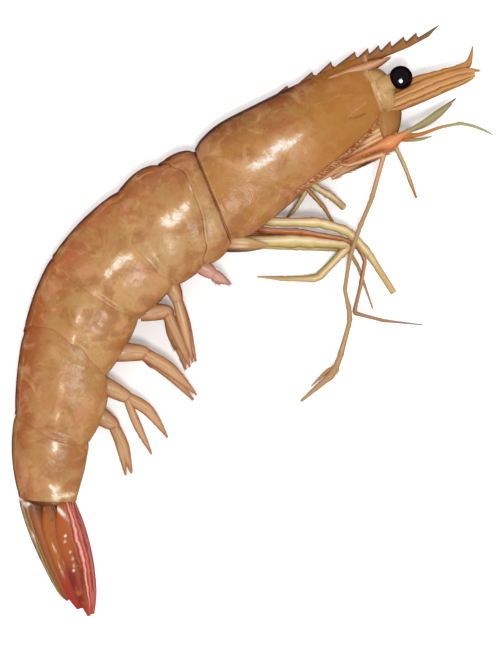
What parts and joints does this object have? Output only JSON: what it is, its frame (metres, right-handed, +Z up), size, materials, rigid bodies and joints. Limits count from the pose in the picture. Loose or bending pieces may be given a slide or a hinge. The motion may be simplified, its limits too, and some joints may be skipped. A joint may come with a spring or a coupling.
{
  "type": "raw tiger prawn",
  "caption": "Whole raw tiger prawn with head and shell on, lying curved on its side, with its rostrum, eyes, legs, swimmerets and folded tail fan.",
  "frame": {"origin": "middle of the footprint, on the plane of the table that the prawn lies on", "axes": "+Z up from the table, out of the prawn's right side; the head points towards +X +Y and the tail towards -Y"},
  "size_m": [0.1123, 0.1379, 0.0185],
  "materials": {
    "carapace": "moist satin shell",
    "abdomen": "moist satin shell",
    "telson": "moist satin shell",
    "uropods": "moist satin shell",
    "eyes": "wet gloss",
    "eyestalks": "satin skin",
    "antennal_scales": "satin shell",
    "antennules": "satin shell",
    "antennae": "satin shell",
    "mouthparts": "satin skin",
    "maxillipeds": "satin shell",
    "legs": "satin shell",
    "swimmerets": "satin skin"
  },
  "bodies": {
    "root": {"carapace": "carapace", "abdomen_1": "abdomen", "abdomen_2": "abdomen", "abdomen_3": "abdomen", "abdomen_4": "abdomen", "abdomen_5": "abdomen", "abdomen_6": "abdomen", "telson": "telson", "uropod_inner_right": "uropods", "uropod_inner_left": "uropods", "uropod_outer_right": "uropods", "uropod_outer_left": "uropods", "eye_right": "eyes", "eye_left": "eyes", "eyestalk_right": "eyestalks", "eyestalk_left": "eyestalks", "antennal_scale_right": "antennal_scales", "antennal_scale_left": "antennal_scales", "antennule_right": "antennules", "antennule_left": "antennules", "antenna_right": "antennae", "antenna_left": "antennae", "mouthparts": "mouthparts", "maxilliped_right": "maxillipeds", "maxilliped_left": "maxillipeds", "leg_1_right": "legs", "leg_1_left": "legs", "leg_2_right": "legs", "leg_2_left": "legs", "leg_3_right": "legs", "leg_3_left": "legs", "leg_4_right": "legs", "leg_4_left": "legs", "leg_5_right": "legs", "leg_5_left": "legs", "swimmeret_1_right": "swimmerets", "swimmeret_1_left": "swimmerets", "swimmeret_2_right": "swimmerets", "swimmeret_2_left": "swimmerets", "swimmeret_3_right": "swimmerets", "swimmeret_3_left": "swimmerets", "swimmeret_4_right": "swimmerets", "swimmeret_4_left": "swimmerets", "swimmeret_5_right": "swimmerets", "swimmeret_5_left": "swimmerets"}
  },
  "joints": []
}
